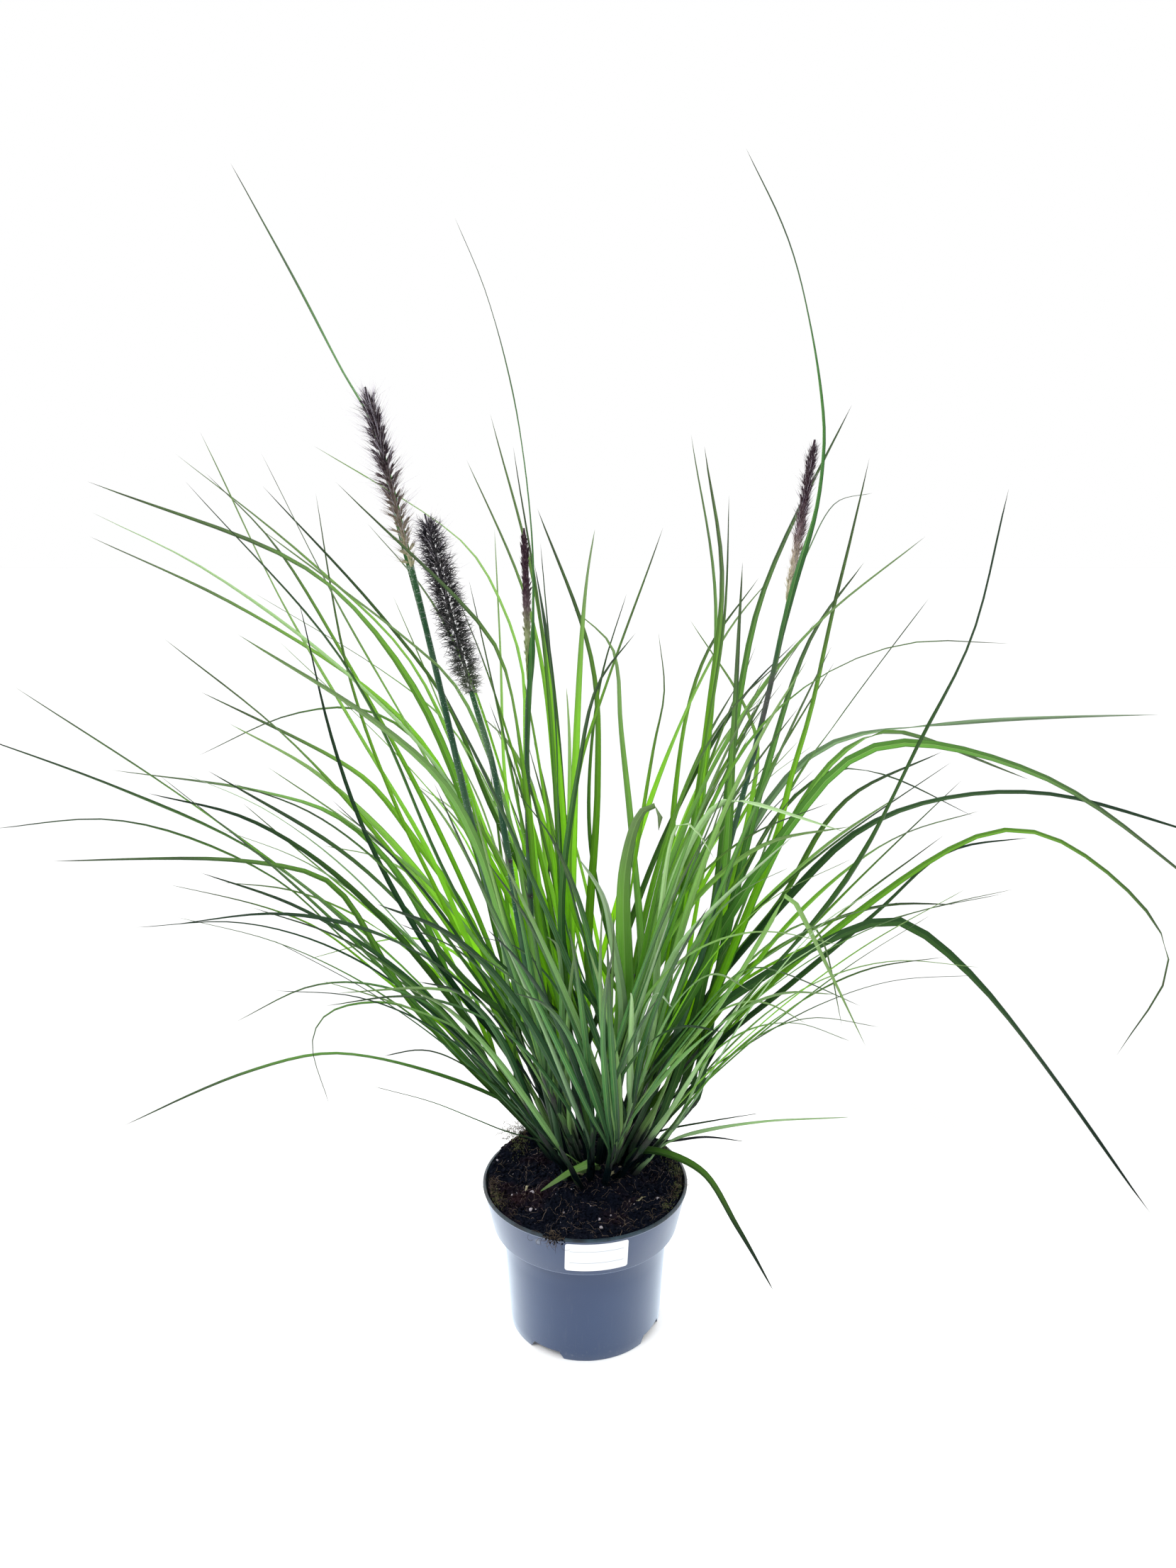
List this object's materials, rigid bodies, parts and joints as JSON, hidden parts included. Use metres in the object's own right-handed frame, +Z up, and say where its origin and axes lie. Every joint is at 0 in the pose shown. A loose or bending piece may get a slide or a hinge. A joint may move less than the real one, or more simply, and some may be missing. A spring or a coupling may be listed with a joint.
{
  "type": "potted ornamental grass",
  "caption": "Clump of fountain grass with long arching leaves and dark bottlebrush flower spikes, growing in a round plastic nursery pot full of peat.",
  "frame": {"origin": "centre of the pot's underside, on the surface that it stands on", "axes": "+Z up along the pot's axis, +X to the right of someone who faces the label, +Y away from them"},
  "size_m": [1.0247, 0.5576, 0.909],
  "materials": {
    "pot": "satin slate-blue injection-moulded polypropylene",
    "label": "white paper label, bare",
    "soil": "damp dark peat with white perlite crumbs",
    "leaf": "living grass leaf with fine parallel veins and a paler midrib",
    "culm": "dark green flowering stem, finely haired below the spike",
    "spike": "dark purple-brown bristles, paler towards the foot"
  },
  "bodies": {
    "root": {"pot": "pot", "label": "label", "soil": "soil", "tiller_01": "leaf", "tiller_02": "leaf", "tiller_03": "leaf", "tiller_04": "leaf", "tiller_05": "leaf", "tiller_06": "leaf", "tiller_07": "leaf", "tiller_08": "leaf", "tiller_09": "leaf", "tiller_10": "leaf", "tiller_11": "leaf", "tiller_12": "leaf", "tiller_13": "leaf", "tiller_14": "leaf", "tiller_15": "leaf", "tiller_16": "leaf", "tiller_17": "leaf", "tiller_18": "leaf", "tiller_19": "leaf", "tiller_20": "leaf", "tiller_21": "leaf", "tiller_22": "leaf", "tiller_23": "leaf", "tiller_24": "leaf", "tiller_25": "leaf", "tiller_26": "leaf", "tiller_27": "leaf", "tiller_28": "leaf", "culm_1": "culm", "culm_2": "culm", "culm_3": "culm", "culm_4": "culm", "spike_1": "spike", "spike_2": "spike", "spike_3": "spike", "spike_4": "spike"}
  },
  "joints": []
}
